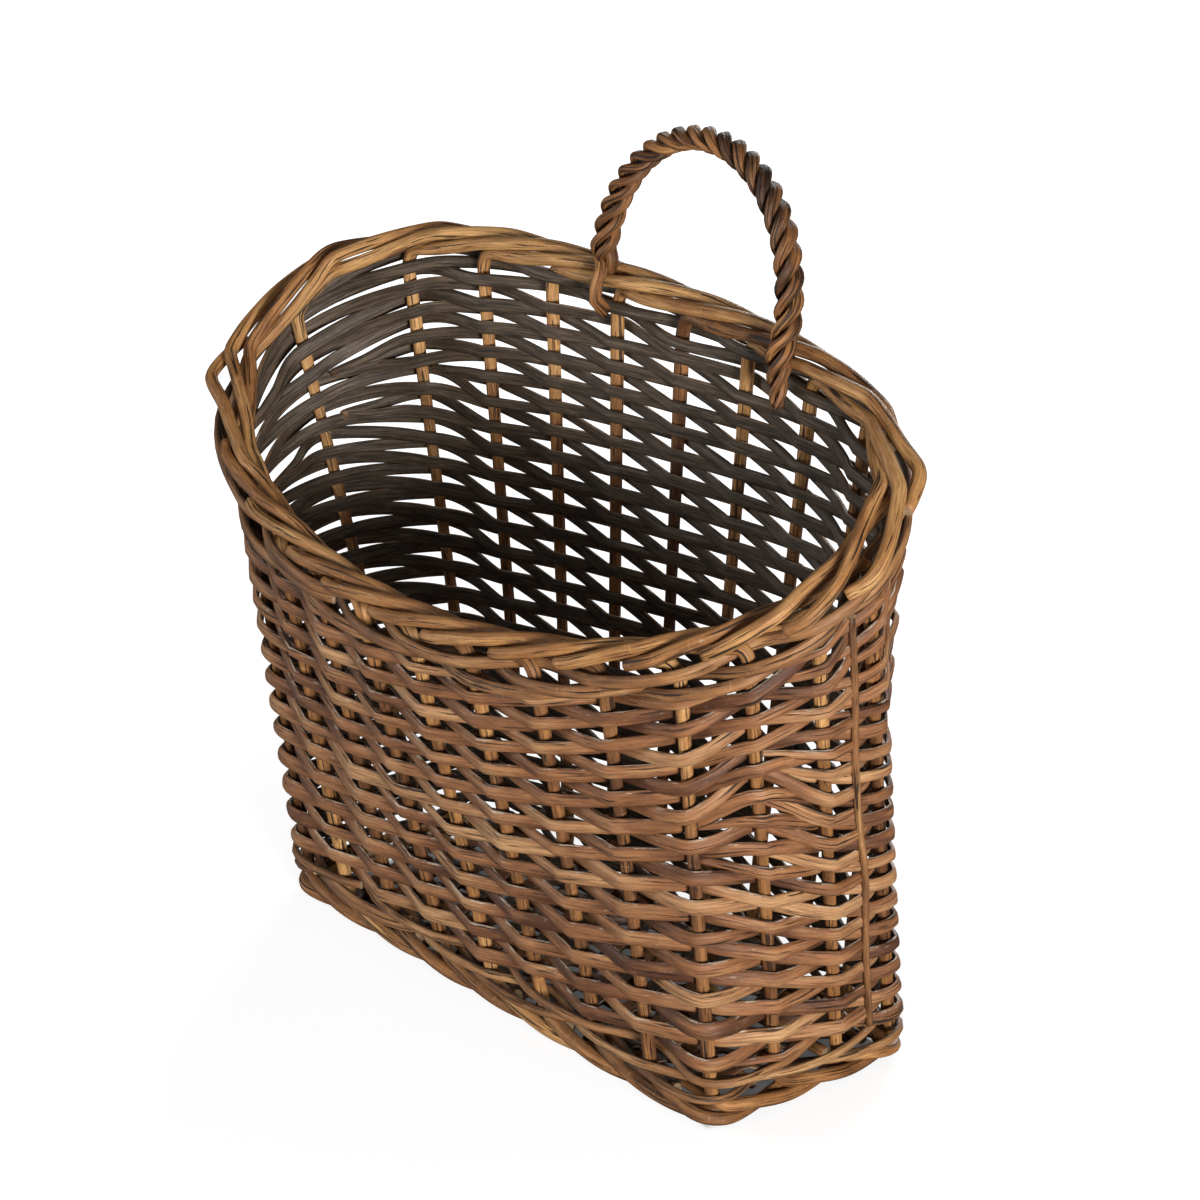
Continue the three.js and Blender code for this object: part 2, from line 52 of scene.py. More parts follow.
back = np.array([math.sin(AZIMUTH) * math.cos(ELEVATION),
                 -math.cos(AZIMUTH) * math.cos(ELEVATION), math.sin(ELEVATION)])
camera_data = bpy.data.cameras.new("camera")
camera = bpy.data.objects.new("camera", camera_data)
scene.collection.objects.link(camera)
camera.location = (AIM + DISTANCE * back) * MM
camera.rotation_euler = (math.pi / 2 - ELEVATION, 0, AZIMUTH)
camera_data.sensor_width = SENSOR_WIDTH
camera_data.lens = FOCAL_PIXELS / FRAME_PIXELS * SENSOR_WIDTH
camera_data.shift_x = 0.5 - CENTRE_PIXEL[0] / FRAME_PIXELS
camera_data.shift_y = CENTRE_PIXEL[1] / FRAME_PIXELS - 0.5
camera_data.clip_end = CLIP_FAR
scene.camera = camera
LAMP_AIM = np.array([0, 0, 0.15])


def linear(red, green, blue):
    """A colour written as it looks on the screen, 0 to 255, as the linear colour that a shader wants."""
    share = np.array([red, green, blue]) / 255
    return (*np.where(share <= 0.04045, share / 12.92, ((share + 0.055) / 1.055) ** 2.4), 1)


def soft_lamp(name, place, size, power):
    """A square lamp of the given size, turned so that it looks at the middle of the basket."""
    data = bpy.data.lights.new(name, "AREA")
    data.size = size
    data.energy = power
    lamp = bpy.data.objects.new(name, data)
    scene.collection.objects.link(lamp)
    away = np.array(place) - LAMP_AIM
    lamp.location = place
    lamp.rotation_euler = (math.acos(away[2] / np.linalg.norm(away)), 0,
                           math.atan2(away[0], -away[1]))


soft_lamp("lamp_right", (2.0, -0.78, 0.38), 0.5, 70)
soft_lamp("lamp_left", (-1.5, -1.5, 0.5), 0.9, 23)
soft_lamp("lamp_above", (0.5, -0.6, 2.0), 0.8, 6)
soft_lamp("lamp_back", (-1.1, 1.9, 0.7), 1.0, 42)


def node(tree, kind, sockets=None, **settings):
    """A shader node with its settings made and its inputs given, each a value or an output to link."""
    made = tree.nodes.new(kind)
    for name, value in settings.items():
        setattr(made, name, value)
    for name, value in (sockets or {}).items():
        if isinstance(value, bpy.types.NodeSocket):
            tree.links.new(value, made.inputs[name])
        else:
            made.inputs[name].default_value = value
    return made


world = bpy.data.worlds.new("surround")
scene.world = world
world.use_nodes = True
tree = world.node_tree
tree.nodes.clear()
rays = node(tree, "ShaderNodeLightPath")
seen = rays.outputs["Is Camera Ray"]
dim = node(tree, "ShaderNodeBackground", {"Color": linear(255, 252, 248), "Strength": 0.02})
white = node(tree, "ShaderNodeBackground", {"Color": (1, 1, 1, 1), "Strength": 1.0})
both = node(tree, "ShaderNodeMixShader", {0: seen, 1: dim.outputs[0], 2: white.outputs[0]})
node(tree, "ShaderNodeOutputWorld", {"Surface": both.outputs[0]})

# The floor glows for the camera, so that it is white like the surround, and less near the basket, so that
# the shadow shows. Under the basket it hardly glows, because no light gets there.
FLOOR_HALF, GLOW_NEAR, GLOW_FAR, LEAST_GLOW = 9, 0.1, 0.7, 0.82
UNDER_HALF_X, UNDER_HALF_Y, UNDER_MIDDLE_Y = 0.135, 0.051, 0.027285
UNDER_EDGE, UNDER_GLOW = 0.95, 0.08
floor_mesh = bpy.data.meshes.new("floor")
floor_corners = [(x * FLOOR_HALF, y * FLOOR_HALF, 0) for x, y in ((-1, -1), (1, -1), (1, 1), (-1, 1))]
floor_mesh.from_pydata(floor_corners, [], [(0, 1, 2, 3)])
floor = bpy.data.objects.new("floor", floor_mesh)
scene.collection.objects.link(floor)
paper = bpy.data.materials.new("floor_paper")
paper.use_nodes = True
tree = paper.node_tree
tree.nodes.clear()
rays = node(tree, "ShaderNodeLightPath")
seen = rays.outputs["Is Camera Ray"]
place = node(tree, "ShaderNodeTexCoord")
away = node(tree, "ShaderNodeVectorMath", {0: place.outputs["Object"]}, operation="LENGTH")
glow = node(tree, "ShaderNodeMapRange", {
    "Value": away.outputs["Value"], "From Min": GLOW_NEAR, "From Max": GLOW_FAR,
    "To Min": LEAST_GLOW, "To Max": 1.0}, interpolation_type="SMOOTHSTEP")
under = node(tree, "ShaderNodeMapping", {
    "Vector": place.outputs["Object"], "Location": (0, -UNDER_MIDDLE_Y / UNDER_HALF_Y, 0),
    "Scale": (1 / UNDER_HALF_X, 1 / UNDER_HALF_Y, 0)})
under = node(tree, "ShaderNodeVectorMath", {0: under.outputs[0]}, operation="ABSOLUTE")
under = node(tree, "ShaderNodeSeparateXYZ", {0: under.outputs["Vector"]})
under = node(tree, "ShaderNodeMath", {0: under.outputs["X"], 1: under.outputs["Y"]}, operation="MAXIMUM")
under = node(tree, "ShaderNodeMapRange", {
    "Value": under.outputs[0], "From Min": UNDER_EDGE, "To Min": UNDER_GLOW})
glow = node(tree, "ShaderNodeMath", {0: under.outputs[0], 1: glow.outputs[0]}, operation="MULTIPLY")
glow = node(tree, "ShaderNodeMath", {0: seen, 1: glow.outputs[0]}, operation="MULTIPLY")
lit = node(tree, "ShaderNodeBsdfDiffuse", {"Color": linear(150, 150, 150)})
lift = node(tree, "ShaderNodeEmission", {"Color": (1, 1, 1, 1), "Strength": glow.outputs[0]})
both = node(tree, "ShaderNodeAddShader", {0: lit.outputs[0], 1: lift.outputs[0]})
node(tree, "ShaderNodeOutputMaterial", {"Surface": both.outputs[0]})
floor_mesh.materials.append(paper)

# Base: five lengthwise willow sticks, with one flat split weaver going over and under them to and fro
# across each half. It lies inside the rolled foot of the wall, a little above the ground.
BASE_WIDTH, BASE_DEPTH = 270, 101
FOOT_STRANDS, STAKE_RADIUS, ROLL_CLEARANCE = 3, 2.5, 0.6
FOOT_ROLL = (STAKE_RADIUS + ROLL_CLEARANCE / 2) / math.sin(math.pi / FOOT_STRANDS)
FOOT_CENTRE = FOOT_ROLL + STAKE_RADIUS
GRAIN_SPREAD, SEED = 900, 23
chance = np.random.default_rng(SEED)


def unit(vectors):
    """Each vector divided by its own length."""
    return vectors / np.maximum(np.linalg.norm(vectors, axis=-1, keepdims=True), 1e-9)


def along_path(path):
    """The length along a path up to each of its points: the sum of the steps before it."""
    return np.concatenate([[0], np.cumsum(np.linalg.norm(np.diff(path, axis=0), axis=1))])


def through(points, steps):
    """A smooth line through every point: between two points, the cubic whose slope at each of them is half
    the way from the point before to the point after. Steps are places in the row of points, with parts."""
    points = np.asarray(points, float)
    ends = np.concatenate([2 * points[:1] - points[1:2], points, 2 * points[-1:] - points[-2:-1]])
    whole = np.clip(np.floor(steps).astype(int), 0, len(points) - 2)
    t = (steps - whole).reshape((-1,) + (1,) * (points.ndim - 1))
    a, b, c, d = (ends[whole + k] for k in range(4))
    return b + 0.5 * t * (c - a + t * (2 * a - 5 * b + 4 * c - d + t * (3 * (b - c) + d - a)))


def wander(steps, reach, size):
    """A smooth random wave: seeded numbers with a spread of size, one for each reach of steps, joined."""
    steps = np.asarray(steps, float)
    start = steps.min()
    count = int((steps.max() - start) / reach) + 4
    return through(chance.normal(0, size, count), (steps - start) / reach + 1)


def rod_piece(name, path, side, across, section, tone, bark, edge, finish, stands_for):
    """A rod: its section carried along its path. Ring j, corner k stands at the path's point j, plus the
    section's first measure times the side vector and its second times the across vector there. Both ends
    are closed by a fan round a middle point. The mesh keeps its readings for the finish: straight, the
    corner's place in the rod before it was bent, tone, bark, which is 1 on bark and 0 on split wood, and
    edge, which is 1 on the sharp edges of a split rod."""
    rings, corners = section.shape[:2]
    places = path[:, None] + section[..., :1] * side[:, None] + section[..., 1:] * across[:, None]
    middles = path[[0, -1]] + (section[[0, -1]].mean(1)[:, :1] * side[[0, -1]]
                               + section[[0, -1]].mean(1)[:, 1:] * across[[0, -1]])
    length = along_path(path)
    straight = np.concatenate([np.repeat(length[:, None, None], corners, 1), section], 2)
    straight = np.concatenate([straight.reshape(-1, 3), [[0, 0, 0], [length[-1], 0, 0]]])
    straight = straight + chance.uniform(0, GRAIN_SPREAD, 3)

    ring = np.arange(corners)
    after = (ring + 1) % corners
    start = np.arange(rings - 1)[:, None] * corners
    quads = np.stack([start + ring, start + after, start + corners + after, start + corners + ring], -1)
    quads = quads.reshape(-1, 4)
    last = (rings - 1) * corners
    first_fan = np.stack([after, ring, np.full(corners, rings * corners)], -1)
    last_fan = np.stack([last + ring, last + after, np.full(corners, rings * corners + 1)], -1)
    fans = np.concatenate([first_fan, last_fan])

    mesh = bpy.data.meshes.new(name)
    points = (np.concatenate([places.reshape(-1, 3), middles]) + SHIFT) * MM
    mesh.vertices.add(len(points))
    mesh.vertices.foreach_set("co", points.ravel())
    loops = np.concatenate([quads.ravel(), fans.ravel()])
    mesh.loops.add(len(loops))
    mesh.loops.foreach_set("vertex_index", loops)
    counts = np.concatenate([np.full(len(quads), 4), np.full(len(fans), 3)])
    mesh.polygons.add(len(counts))
    mesh.polygons.foreach_set("loop_start", np.concatenate([[0], np.cumsum(counts)[:-1]]))
    mesh.polygons.foreach_set("use_smooth", np.arange(len(counts)) < len(quads))
    mesh.update(calc_edges=True)

    end_tone = tone[[0, -1]]
    tones = np.concatenate([np.repeat(tone, corners), end_tone])
    barks = np.concatenate([np.broadcast_to(bark, (rings, corners)).ravel(), [0, 0]])
    edges = np.concatenate([np.broadcast_to(edge, (rings, corners)).ravel(), [0, 0]])
    mesh.attributes.new("straight", "FLOAT_VECTOR", "POINT").data.foreach_set("vector", straight.ravel())
    mesh.attributes.new("tone", "FLOAT", "POINT").data.foreach_set("value", tones)
    mesh.attributes.new("bark", "FLOAT", "POINT").data.foreach_set("value", barks)
    mesh.attributes.new("edge", "FLOAT", "POINT").data.foreach_set("value", edges)
    cut = np.concatenate([np.zeros(quads.size), np.ones(fans.size)])
    mesh.attributes.new("cut", "FLOAT", "CORNER").data.foreach_set("value", cut)
    mesh.materials.append(finish)
    piece = bpy.data.objects.new(name, mesh)
    scene.collection.objects.link(piece)
    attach(piece, "root")
    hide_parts(stands_for)


def round_rod(name, path, radius, finish, stands_for, sides=12, hint=(0, 0, 1), base_tone=None,
              pinch=0.0, split=False):
    """A round rod along a path: its section is a circle, a little uneven along and around the rod. Its
    first axis is the way along crossed with the hint, which nowhere lies along the path. A pinch makes
    the section longer across that axis, by the cosine of twice the angle round it. A split rod has no
    bark behind."""
    travel = unit(np.gradient(path, axis=0))
    side = unit(np.cross(travel, hint))
    across = np.cross(travel, side)
    length = along_path(path)
    angle = np.arange(sides) * 2 * np.pi / sides
    swell = 1 + wander(length, reach=18, size=0.028)
    oval = wander(length, reach=30, size=0.035)[:, None] * np.cos(2 * angle + chance.uniform(0, 6))
    oval = oval - pinch * np.cos(2 * angle)
    radii = (radius * swell)[:, None] * (1 + oval)
    section = np.stack([radii * np.cos(angle), radii * np.sin(angle)], -1)
    base = chance.normal(0.5, 0.16) if base_tone is None else base_tone
    tone = np.clip(base + wander(length, reach=60, size=0.09), 0, 1)
    bark = np.where(np.cos(angle) < -0.2, 0.0, 1.0) if split else 1.0
    rod_piece(name, path, side, across, section, tone, bark, 0.0, finish, stands_for)


def willow(name, dark, middle, light, split, pith, rings, whole):
    """Willow bark: the rod's tone picks a colour from dark to light, patches and fine lengthwise grain in
    the rod's straight place shift it, thin dark cracks run along it and pale cracked rings lie across it.
    Cracks lie where a long drawn noise is above whole, so that a lower value gives more of them. Along a
    split rod's edges they come a little more often, as painted shade where the rows meet. Split wood is
    greyer and more fibrous, and a cut end shows the pale pith."""
    finish = bpy.data.materials.new(name)
    finish.use_nodes = True
    tree = finish.node_tree
    tree.nodes.clear()

    def reading(attribute, output):
        return node(tree, "ShaderNodeAttribute", attribute_name=attribute).outputs[output]

    def grain(scale, detail, roughness=0.6, distortion=0.0):
        stretched = node(tree, "ShaderNodeMapping", {
            "Vector": reading("straight", "Vector"), "Scale": scale})
        return node(tree, "ShaderNodeTexNoise", {
            "Vector": stretched.outputs[0], "Scale": 1.0, "Detail": detail, "Roughness": roughness,
            "Distortion": distortion}).outputs["Fac"]

    def between(value, low, high, start=0.0, end=1.0):
        return node(tree, "ShaderNodeMapRange", {
            "Value": value, "From Min": low, "From Max": high, "To Min": start, "To Max": end},
            interpolation_type="SMOOTHSTEP").outputs[0]

    def math_node(operation, first, second):
        return node(tree, "ShaderNodeMath", {0: first, 1: second}, operation=operation).outputs[0]

    def blend(share, first, second, kind="MIX"):
        mixed = node(tree, "ShaderNodeMix", data_type="RGBA", blend_type=kind)
        for socket, value in (("Factor_Float", share), ("A_Color", first), ("B_Color", second)):
            place = next(s for s in mixed.inputs if s.identifier == socket)
            if isinstance(value, bpy.types.NodeSocket):
                tree.links.new(value, place)
            else:
                place.default_value = value
        return next(s for s in mixed.outputs if s.identifier == "Result_Color")

    patches = grain((0.035, 0.16, 0.16), 3)
    fine = grain((0.06, 1.1, 1.1), 6, 0.7)
    fibres = grain((0.04, 2.1, 2.1), 3, 0.6)
    cracks = grain((0.035, 0.9, 0.9), 4, 0.6, 0.3)
    across = grain((1.1, 0.22, 0.22), 3, 0.6, 0.6)
    scuffs = grain((0.10, 0.9, 0.9), 5, 0.75)

    shift = between(patches, 0.25, 0.75, -0.26, 0.26)
    shade = math_node("ADD", reading("tone", "Fac"), shift)
    ramp = node(tree, "ShaderNodeValToRGB", {"Fac": shade})
    stops = ramp.color_ramp.elements
    stops[0].position, stops[0].color = 0.08, dark
    stops[1].position, stops[1].color = 0.95, light
    stop = stops.new(0.5)
    stop.color = middle
    bark_colour = ramp.outputs["Color"]
    bark_colour = blend(between(fine, 0.34, 0.60, 0.6, 0.0), bark_colour, dark)
    bark_colour = blend(between(fibres, 0.50, 0.70, 0.0, 0.5), bark_colour, dark)
    worn = math_node("ADD", scuffs, math_node("MULTIPLY", reading("edge", "Fac"), 0.2))
    bark_colour = blend(between(worn, 0.65, 0.74, 0.0, 0.8), bark_colour, linear(202, 188, 170))
    bark_colour = blend(between(scuffs, 0.54, 0.72, 0.0, 0.15), bark_colour, linear(178, 154, 128))
    ring_share = math_node("MULTIPLY", between(across, 0.62, 0.72), rings)
    bark_colour = blend(ring_share, bark_colour, light)
    # Along a split rod's edges the dark cracks come a little more often: real cracks, plus painted shade
    # where the rows meet.
    cracks_and_edge_shade = math_node("ADD", cracks, math_node("MULTIPLY", reading("edge", "Fac"), 0.05))
    cracks_and_edge_shade_share = between(cracks_and_edge_shade, whole, whole + 0.06, 0.0, 0.92)
    bark_colour = blend(cracks_and_edge_shade_share, bark_colour, linear(26, 16, 10))

    wood_colour = blend(between(patches, 0.40, 0.72, 0.0, 0.6), split, linear(104, 87, 70))
    wood_colour = blend(between(scuffs, 0.50, 0.66, 0.0, 0.7), wood_colour, linear(118, 103, 87))
    wood_colour = blend(between(fine, 0.36, 0.56, 0.85, 0.0), wood_colour, linear(32, 25, 19))
    wood_colour = blend(between(fibres, 0.46, 0.62, 0.0, 0.6), wood_colour, linear(30, 24, 18))
    colour = blend(reading("bark", "Fac"), wood_colour, bark_colour)
    end_colour = blend(between(fine, 0.4, 0.65, 0.0, 0.6), pith, dark)
    colour = blend(reading("cut", "Fac"), colour, end_colour)

    height = math_node("ADD", math_node("MULTIPLY", fine, 0.6), math_node("MULTIPLY", fibres, 0.5))
    height = math_node("SUBTRACT", height, math_node("MULTIPLY", cracks_and_edge_shade_share, 0.9))
    bump = node(tree, "ShaderNodeBump", {"Height": height, "Strength": 0.8, "Distance": 0.0006})
    rough = between(fine, 0.3, 0.7, 0.68, 0.46)
    shader = node(tree, "ShaderNodeBsdfPrincipled", {
        "Base Color": colour, "Roughness": rough, "Normal": bump.outputs[0], "Specular IOR Level": 0.35})
    node(tree, "ShaderNodeOutputMaterial", {"Surface": shader.outputs[0]})
    return finish


round_willow = willow("round_willow", linear(84, 51, 27), linear(160, 109, 61), linear(204, 156, 98),
                      linear(110, 94, 78), linear(176, 148, 112), 0.5, 0.565)
split_willow = willow("split_willow", linear(78, 46, 28), linear(148, 99, 62), linear(190, 145, 100),
                      linear(78, 64, 50), linear(170, 142, 110), 0.12, 0.6)
thin_willow = willow("thin_willow", linear(84, 53, 31), linear(148, 102, 62), linear(190, 148, 100),
                     linear(80, 68, 56), linear(176, 148, 114), 0.3, 0.575)

BASE_STICKS, STICK_RADIUS, BASE_STRIP, BASE_PITCH = 5, 2.5, 2.2, 8
BASE_CLEARANCE, BASE_LIFT, STICK_SHORTFALL, STICK_RINGS = 0.3, 1, 4, 60
BASE_INSET = FOOT_CENTRE + BASE_CLEARANCE + BASE_STRIP + BASE_CLEARANCE
STICK_SPACING = (BASE_DEPTH - 2 * (BASE_INSET + STICK_RADIUS)) / (BASE_STICKS - 1)
BASE_WRAP = STICK_RADIUS + BASE_CLEARANCE + BASE_STRIP / 2
BASE_WAVE = BASE_WRAP / math.cos(math.atan2(2 * BASE_WRAP, STICK_SPACING))
BASE_LEVEL = BASE_WAVE + BASE_STRIP / 2 + BASE_LIFT
STICK_HALF = BASE_WIDTH / 2 - FOOT_CENTRE - STICK_SHORTFALL
BASE_PASSES = 2 * int(STICK_HALF // BASE_PITCH)

for stick in range(BASE_STICKS):
    x = np.linspace(-STICK_HALF, STICK_HALF, STICK_RINGS)
    y = (stick - (BASE_STICKS - 1) / 2) * STICK_SPACING + wander(x, reach=60, size=0.25)
    path = np.stack([x, y, np.full(STICK_RINGS, BASE_LEVEL)], 1)
    round_rod(f"base_rod_{stick + 1:02d}", path, STICK_RADIUS, round_willow,
              f"base_stick_{stick + 1:02d}")


def split_section(width, dome, flat, points=16):
    """A split rod's section for each width: a flat face with rounded edges, and on the other side a dome.
    Going round by angle, the first measure is half the width times the cosine, bent outwards a little to
    fill the corners, and the second the dome's or the flat's depth times the sine."""
    angle = np.arange(points) * 2 * np.pi / points
    wide = np.sign(np.cos(angle)) * np.abs(np.cos(angle)) ** 0.9
    deep = np.abs(np.sin(angle))
    deep = np.where(np.sin(angle) > 0, dome * deep ** 0.9, -flat * deep ** 0.4)
    bark = np.where(np.sin(angle) > -0.1, 1.0, 0.0)
    edge = np.clip(np.abs(wide) * 8 - 7, 0, 1)
    section = np.stack([width[:, None] / 2 * wide, np.broadcast_to(deep, (len(width), points))], -1)
    return section, bark, edge


def split_strip(name, path, up, width, tone, stands_for, dome=1.8, flat=0.6, turned=0.0):
    """A split weaver: its domed bark side looks along travel crossed with up, its width along up. Where it
    is turned, 0 to 1 along it, bark and split wood change sides."""
    travel = unit(np.gradient(path, axis=0))
    crown = unit(np.cross(travel, up))
    rise = np.cross(crown, travel)
    section, bark, edge = split_section(width, dome, flat)
    bark = bark + (1 - 2 * bark) * turned
    rod_piece(name, path, rise, crown, section, tone, bark, edge, split_willow,
              stands_for)


for name, first, last in (("base_strip_left", 0, BASE_PASSES // 2 - 1),
                          ("base_strip_right", BASE_PASSES // 2, BASE_PASSES - 1)):
    row = np.arange(first, last + 1)
    way = np.where(row % 2 == 0, 1, -1)[:, None]
    stick = np.arange(BASE_STICKS)
    level = np.where(stick % 2 == 0, 1, -1) * np.where((stick == 0) | (stick == BASE_STICKS - 1),
                                                       BASE_WRAP, BASE_WAVE)
    x = (row - (BASE_PASSES - 1) / 2)[:, None] * BASE_PITCH
    y = way * (stick - (BASE_STICKS - 1) / 2) * STICK_SPACING
    over = np.stack(np.broadcast_arrays(x, y, BASE_LEVEL + way * level), -1)
    edge = way * ((BASE_STICKS - 1) / 2 * STICK_SPACING + BASE_WRAP)
    turn = np.stack([np.concatenate([x + BASE_PITCH / 4, x + BASE_PITCH * 3 / 4], 1),
                     np.concatenate([edge, edge], 1),
                     BASE_LEVEL + np.concatenate([way * BASE_WRAP, -way * BASE_WRAP], 1) * 0.75], -1)
    stations = np.concatenate([over, turn], 1).reshape(-1, 3)[:-2]
    steps = np.linspace(0, len(stations) - 1, 6 * len(stations))
    path = through(stations, steps)
    up = np.broadcast_to([1.0, 0, 0], path.shape)
    tone = np.clip(0.45 + wander(steps, reach=5, size=0.15), 0, 1)
    width = BASE_PITCH - BASE_CLEARANCE + wander(steps, reach=4, size=0.1)
    split_strip(name, path, up, width, tone, name.replace("strip", "weaver"), dome=1.2, flat=0.9)

# Stakes: 23 round willow rods. The lower end of each runs along the foot round its neighbours, the rod
# stands up through the wall, and its upper end is laid down along the rim, rolled round the next ones, and
# cut off.
RIM_WIDTH, RIM_DEPTH, RIM_FORWARD = 360, 140, 34
FRONT_HEIGHT, BACK_HEIGHT, RIM_SWEEP = 192, 290, 0.2
FRONT_ROUNDNESS, BACK_ROUNDNESS, BASE_CORNER = 1.95, 2.8, 10
STAKE_GAPS, RIM_CORNERS = [8, 3, 9, 3], [230, 321, 364, 499]
STAKES = sum(STAKE_GAPS)
BORDER_STRANDS, FOOT_RUN, BORDER_RUN = 5, 7 / 3, 11 / 3
BORDER_ROLL = (STAKE_RADIUS + ROLL_CLEARANCE / 2) / math.sin(math.pi / BORDER_STRANDS)
BORDER_RADIUS = BORDER_ROLL + STAKE_RADIUS
ROLL_OUT, ROLL_UP, STRANDS_ROUND = 5.3, 4.1, 4.2
LOOP_OUT, LOOP_START = 7.0, 0.85
FOOT_LIFT = FOOT_CENTRE + 0.5
SLOPE_REACH, BEND_RUN = 4, 0.1
UP = np.array([0.0, 0, 1])


def by_stake(sides):
    """A closed line read by stake number. Each side runs from one corner stake to the next, and the stakes
    divide it evenly by length. Gives the point, the way along, the way out, and up square to both."""
    points = np.concatenate([side[:-1] for side in sides] + [sides[0][:1]])
    length = along_path(points)
    corners = np.concatenate([[0], np.cumsum([len(side) - 1 for side in sides])])
    marks = np.concatenate([np.linspace(length[a], length[b], gaps + 1)[:-1]
                            for a, b, gaps in zip(corners[:-1], corners[1:], STAKE_GAPS)] + [length[-1:]])

    def at(stake):
        stake = np.asarray(stake, float)
        distance = np.interp(np.mod(stake, STAKES), np.arange(STAKES + 1), marks)

        def place(where):
            where = np.mod(where, length[-1])
            return np.stack([np.interp(where, length, points[:, k]) for k in range(3)], -1)

        along = unit(place(distance + SLOPE_REACH) - place(distance - SLOPE_REACH))
        out = unit(np.cross(along, UP))
        return place(distance), along, out, np.cross(out, along)
    return at


def base_side(corner):
    """One side of the base line: from the middle of a rounded corner, straight, to the middle of the
    next."""
    signs = np.array([[-1, -1], [1, -1], [1, 1], [-1, 1]])
    centres = signs * (np.array([BASE_WIDTH, BASE_DEPTH]) / 2 - BASE_CORNER)
    middle = np.pi * (1.25 + 0.5 * corner)
    leave = middle + np.linspace(0, np.pi / 4, 9)
    reach = middle + np.pi / 4 + np.linspace(0, np.pi / 4, 9)
    flat = np.concatenate([
        centres[corner] + BASE_CORNER * np.stack([np.cos(leave), np.sin(leave)], 1),
        centres[(corner + 1) % 4] + BASE_CORNER * np.stack([np.cos(reach), np.sin(reach)], 1)])
    return np.concatenate([flat, np.zeros((len(flat), 1))], 1)


def rim_side(corner):
    """One side of the rim line: a superellipse, rounder at the front than at the back, whose height climbs
    with its depth, with a slight sweep."""
    start = math.radians(RIM_CORNERS[corner])
    end = math.radians(RIM_CORNERS[corner + 1] if corner < 3 else RIM_CORNERS[0] + 360)
    angle = np.linspace(start, end, 91)
    power = 2 / np.where(np.sin(angle) > 0, BACK_ROUNDNESS, FRONT_ROUNDNESS)
    x = RIM_WIDTH / 2 * np.sign(np.cos(angle)) * np.abs(np.cos(angle)) ** power
    y = RIM_DEPTH / 2 * np.sign(np.sin(angle)) * np.abs(np.sin(angle)) ** power
    share = y / RIM_DEPTH + 0.5
    climb = share + RIM_SWEEP * share * (1 - share)
    return np.stack([x, y - RIM_FORWARD, FRONT_HEIGHT + (BACK_HEIGHT - FRONT_HEIGHT) * climb], 1)


base_at = by_stake([base_side(corner) for corner in range(4)])
rim_at = by_stake([rim_side(corner) for corner in range(4)])


def on_roll(line, reach_out, reach_up, turn):
    """A point on a roll of strands: from the line, out by the reach out times the cosine of the turn and up
    by the reach up times its sine."""
    point, _, out, up = line
    angle = 2 * np.pi * np.asarray(turn)[..., None]
    return point + reach_out * np.cos(angle) * out + reach_up * np.sin(angle) * up


def foot_point(stake, run):
    """A point of a stake's foot tail: it goes round the roll once in as many stakes as the foot has
    strands, starting on top."""
    turn = 0.25 - run / FOOT_STRANDS
    return on_roll(base_at(stake + run), FOOT_ROLL, FOOT_ROLL, turn) + FOOT_LIFT * UP


def border_point(stake, run, phase=0.0):
    """A point of a stake's border tail, which starts under the roll. A stiff rod lies straight from one
    bend to the next, so the roll goes round a line that is straight between the rim's points at the whole
    stake numbers less the phase. At the basket's two ends the outer side of the roll stands off, by the
    loop times the cosine of the turn."""
    place = np.asarray(stake - run, float)
    bend = np.floor(place + phase) - phase
    share = (place - bend)[..., None]
    point = rim_at(bend)[0] * (1 - share) + rim_at(bend + 1)[0] * share
    turn = 0.75 - run / STRANDS_ROUND
    ends = np.clip((np.abs(point[..., 0]) * 2 / RIM_WIDTH - LOOP_START) / (1 - LOOP_START), 0, 1)
    loose = LOOP_OUT * ends * np.maximum(np.cos(2 * np.pi * turn), 0)
    return on_roll((point, *rim_at(place)[1:]), ROLL_OUT + loose[..., None], ROLL_UP, turn)


def even(path, spacing):
    """The same path with points at an even spacing."""
    length = along_path(path)
    marks = np.linspace(0, length[-1], int(length[-1] / spacing) + 2)
    return np.stack([np.interp(marks, length, path[:, k]) for k in range(3)], 1)


def eased(path, spacing, reach):
    """The path with its bends rounded: each point becomes a bell-weighted mean of those within reach."""
    path = even(path, spacing)
    count = int(3 * reach / spacing)
    bell = np.exp(-0.5 * (np.arange(-count, count + 1) * spacing / reach) ** 2)
    before = 2 * path[:1] - path[1:count + 1][::-1]
    after = 2 * path[-1:] - path[-count - 1:-1][::-1]
    padded = np.concatenate([before, path, after])
    return np.stack([np.convolve(padded[:, k], bell / bell.sum(), "valid") for k in range(3)], 1)


stake_numbers = np.arange(STAKES)
feet = foot_point(stake_numbers, np.zeros(STAKES))
heads = border_point(stake_numbers, np.zeros(STAKES))
stake_length = np.linalg.norm(heads - feet, axis=1)
stake_up = unit(heads - feet)

